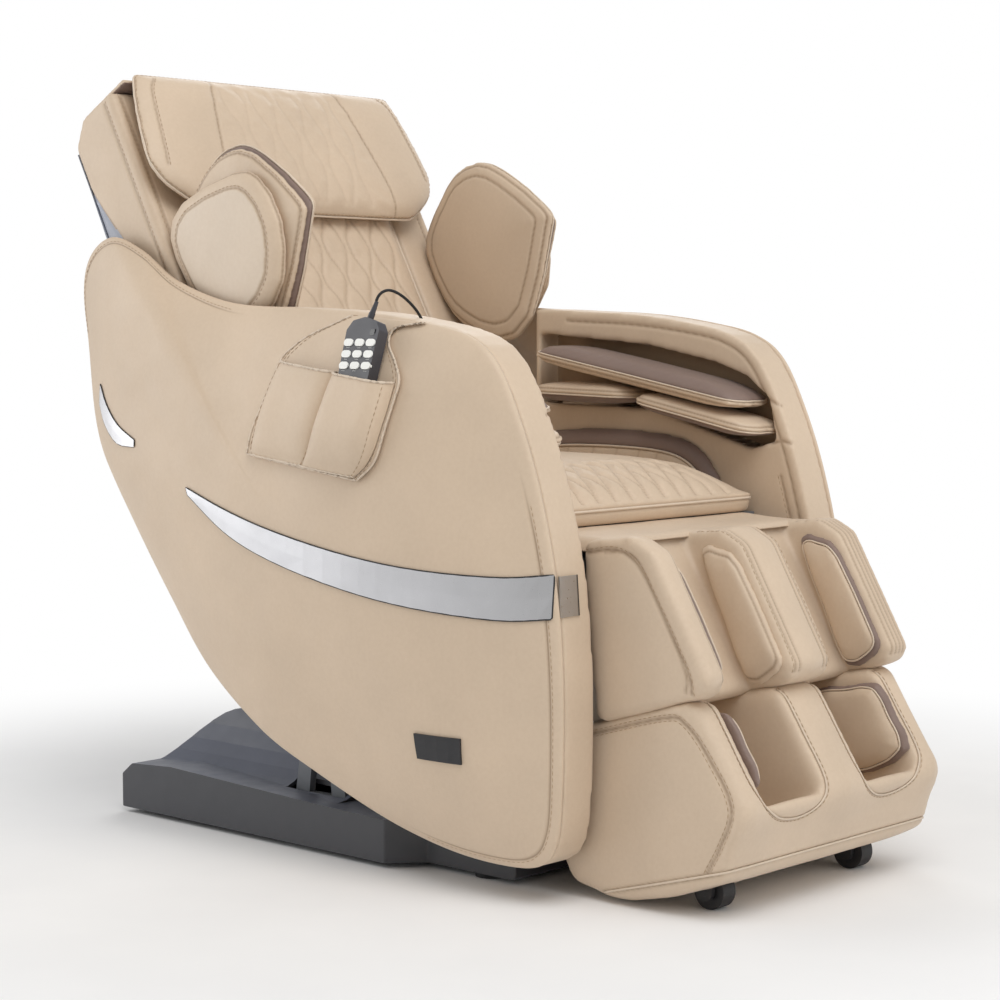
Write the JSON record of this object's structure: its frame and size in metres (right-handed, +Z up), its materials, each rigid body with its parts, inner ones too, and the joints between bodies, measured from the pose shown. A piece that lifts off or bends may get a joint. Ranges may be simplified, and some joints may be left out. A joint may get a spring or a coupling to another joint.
{
  "type": "massage chair",
  "caption": "Full body massage chair with side panels, reclining back, lifting leg rest with sliding foot rest, and a remote control in a side pocket.",
  "frame": {"origin": "on the floor, under the middle of the chair's width and length", "axes": "+X to the sitter's left, the front of the chair faces -Y, +Z up"},
  "size_m": [0.819, 1.2694, 1.1411],
  "materials": {
    "leather_beige": "soft grained",
    "leather_taupe": "soft grained",
    "base_plastic": "fine texture",
    "shell_plastic": "satin",
    "silver_trim": "satin",
    "steel_frame": "powder coat",
    "bright_steel": "brushed",
    "cast_case": "plain",
    "black_plastic": "fine texture",
    "black_rubber": "matte",
    "remote_plastic": "satin",
    "key_white": "satin"
  },
  "bodies": {
    "base": {"base_frame": "steel_frame", "base_cover": "base_plastic", "rubber_feet": "black_rubber", "power_inlet": "black_plastic", "air_pump": "base_plastic", "power_unit": "cast_case"},
    "seat": {"seat_frame": "steel_frame", "seat_cushion": "leather_beige", "side_panel_left": "leather_beige", "side_panel_right": "leather_beige", "side_trims": "silver_trim", "arm_left": "leather_beige", "arm_right": "leather_beige", "arm_pads_left": "leather_beige", "arm_pads_right": "leather_beige", "hip_airbags": "leather_taupe", "side_plate": "base_plastic", "remote_pocket": "leather_beige", "rear_cover": "base_plastic", "remote_body": "remote_plastic", "remote_cord": "black_rubber", "recline_motor": "black_plastic", "leg_motor": "black_plastic"},
    "back": {"back_frame": "steel_frame", "back_shell": "shell_plastic", "back_bolsters": "leather_beige", "back_pad": "leather_beige", "head_pillow": "leather_beige", "shoulder_wing_left": "leather_beige", "shoulder_wing_right": "leather_beige"},
    "leg": {"calf_frame": "steel_frame", "calf_body": "leather_beige", "calf_pads": "leather_beige"},
    "foot": {"foot_slide": "bright_steel", "foot_body": "leather_beige", "foot_pads": "leather_beige"},
    "foot_wheel_left": {"foot_wheel_left": "black_rubber"},
    "foot_wheel_right": {"foot_wheel_right": "black_rubber"},
    "tilt_motor": {"tilt_motor": "black_plastic"},
    "tilt_rod": {"tilt_rod": "bright_steel"},
    "recline_rod": {"recline_rod": "bright_steel"},
    "leg_rod": {"leg_rod": "bright_steel"},
    "carriage": {"massage_carriage": "base_plastic"},
    "lead_screw": {"lead_screw": "bright_steel"},
    "roller_arm_left": {"roller_arm_left": "steel_frame"},
    "roller_arm_right": {"roller_arm_right": "steel_frame"},
    "roller_1": {"roller_1": "black_rubber"},
    "roller_2": {"roller_2": "black_rubber"},
    "roller_3": {"roller_3": "black_rubber"},
    "roller_4": {"roller_4": "black_rubber"},
    "power_switch": {"power_switch": "black_plastic"},
    "key_1": {"key_1": "key_white"},
    "key_2": {"key_2": "key_white"},
    "key_3": {"key_3": "key_white"},
    "key_4": {"key_4": "key_white"},
    "key_5": {"key_5": "key_white"},
    "key_6": {"key_6": "key_white"},
    "key_7": {"key_7": "key_white"},
    "key_8": {"key_8": "key_white"},
    "key_9": {"key_9": "key_white"}
  },
  "joints": [
    {"name": "seat_tilt", "type": "hinge", "parent": "base", "child": "seat", "pos_m": [0, 0.13, 0.25], "axis": [-1, 0, 0], "range_deg": [0, 18]},
    {"name": "back_recline", "type": "hinge", "parent": "seat", "child": "back", "pos_m": [0, 0.227, 0.466], "axis": [-1, 0, 0], "range_deg": [0, 34]},
    {"name": "leg_lift", "type": "hinge", "parent": "seat", "child": "leg", "pos_m": [0, -0.345, 0.44], "axis": [-1, 0, 0], "range_deg": [0, 78]},
    {"name": "foot_extend", "type": "slide", "parent": "leg", "child": "foot", "axis": [0, -0.2756, -0.9613], "range_m": [0, 0.12]},
    {"name": "foot_wheel_left_spin", "type": "hinge", "parent": "foot", "child": "foot_wheel_left", "pos_m": [0.158, -0.53191, 0.024], "axis": [1, 0, 0], "continuous": true},
    {"name": "foot_wheel_right_spin", "type": "hinge", "parent": "foot", "child": "foot_wheel_right", "pos_m": [-0.158, -0.53191, 0.024], "axis": [1, 0, 0], "continuous": true},
    {"name": "tilt_motor_swing", "type": "hinge", "parent": "base", "child": "tilt_motor", "pos_m": [0.11, -0.2, 0.068], "axis": [-1, 0, 0], "range_deg": [0, 5]},
    {"name": "tilt_rod_slide", "type": "slide", "parent": "tilt_motor", "child": "tilt_rod", "axis": [0, 0.1875, 0.9823], "range_m": [0, 0.095]},
    {"name": "recline_rod_slide", "type": "slide", "parent": "seat", "child": "recline_rod", "axis": [0, 1, 0], "range_m": [-0.056, 0]},
    {"name": "leg_rod_slide", "type": "slide", "parent": "seat", "child": "leg_rod", "axis": [0, -1, 0], "range_m": [0, 0.066]},
    {"name": "carriage_travel", "type": "slide", "parent": "back", "child": "carriage", "axis": [0, 0.4848, 0.8746], "range_m": [0, 0.4]},
    {"name": "lead_screw_spin", "type": "hinge", "parent": "back", "child": "lead_screw", "pos_m": [0, 0.30609, 0.53649], "axis": [0, 0.4848, 0.8746], "continuous": true},
    {"name": "roller_arm_left_pivot", "type": "hinge", "parent": "carriage", "child": "roller_arm_left", "pos_m": [0.046, 0.31427, 0.62343], "axis": [-1, 0, 0], "range_deg": [-5, 5]},
    {"name": "roller_arm_right_pivot", "type": "hinge", "parent": "carriage", "child": "roller_arm_right", "pos_m": [-0.046, 0.31427, 0.62343], "axis": [-1, 0, 0], "range_deg": [-5, 5]},
    {"name": "roller_1_spin", "type": "hinge", "parent": "roller_arm_left", "child": "roller_1", "pos_m": [0.062, 0.32559, 0.66861], "axis": [1, 0, 0], "continuous": true},
    {"name": "roller_2_spin", "type": "hinge", "parent": "roller_arm_left", "child": "roller_2", "pos_m": [0.062, 0.28195, 0.58989], "axis": [1, 0, 0], "continuous": true},
    {"name": "roller_3_spin", "type": "hinge", "parent": "roller_arm_right", "child": "roller_3", "pos_m": [-0.062, 0.32559, 0.66861], "axis": [1, 0, 0], "continuous": true},
    {"name": "roller_4_spin", "type": "hinge", "parent": "roller_arm_right", "child": "roller_4", "pos_m": [-0.062, 0.28195, 0.58989], "axis": [1, 0, 0], "continuous": true},
    {"name": "power_switch_rock", "type": "hinge", "parent": "base", "child": "power_switch", "pos_m": [0.024, 0.522, 0.041], "axis": [1, 0, 0], "range_deg": [-8, 8]},
    {"name": "key_1_press", "type": "slide", "parent": "seat", "child": "key_1", "axis": [0.9563, 0, -0.2924], "range_m": [0, 0.001], "stiffness_N_per_m": 600},
    {"name": "key_2_press", "type": "slide", "parent": "seat", "child": "key_2", "axis": [0.9563, 0, -0.2924], "range_m": [0, 0.001], "stiffness_N_per_m": 600},
    {"name": "key_3_press", "type": "slide", "parent": "seat", "child": "key_3", "axis": [0.9563, 0, -0.2924], "range_m": [0, 0.001], "stiffness_N_per_m": 600},
    {"name": "key_4_press", "type": "slide", "parent": "seat", "child": "key_4", "axis": [0.9563, 0, -0.2924], "range_m": [0, 0.001], "stiffness_N_per_m": 600},
    {"name": "key_5_press", "type": "slide", "parent": "seat", "child": "key_5", "axis": [0.9563, 0, -0.2924], "range_m": [0, 0.001], "stiffness_N_per_m": 600},
    {"name": "key_6_press", "type": "slide", "parent": "seat", "child": "key_6", "axis": [0.9563, 0, -0.2924], "range_m": [0, 0.001], "stiffness_N_per_m": 600},
    {"name": "key_7_press", "type": "slide", "parent": "seat", "child": "key_7", "axis": [0.9563, 0, -0.2924], "range_m": [0, 0.001], "stiffness_N_per_m": 600},
    {"name": "key_8_press", "type": "slide", "parent": "seat", "child": "key_8", "axis": [0.9563, 0, -0.2924], "range_m": [0, 0.001], "stiffness_N_per_m": 600},
    {"name": "key_9_press", "type": "slide", "parent": "seat", "child": "key_9", "axis": [0.9563, 0, -0.2924], "range_m": [0, 0.001], "stiffness_N_per_m": 600}
  ],
  "couplings": [
    {"joint": "tilt_motor_swing", "follows": "seat_tilt", "ratio": 0.19928},
    {"joint": "tilt_rod_slide", "follows": "seat_tilt", "m_per_rad": 0.28344},
    {"joint": "recline_rod_slide", "follows": "back_recline", "m_per_rad": -0.08869},
    {"joint": "leg_rod_slide", "follows": "leg_lift", "m_per_rad": 0.04622},
    {"joint": "lead_screw_spin", "follows": "carriage_travel", "rad_per_m": 209.44}
  ]
}
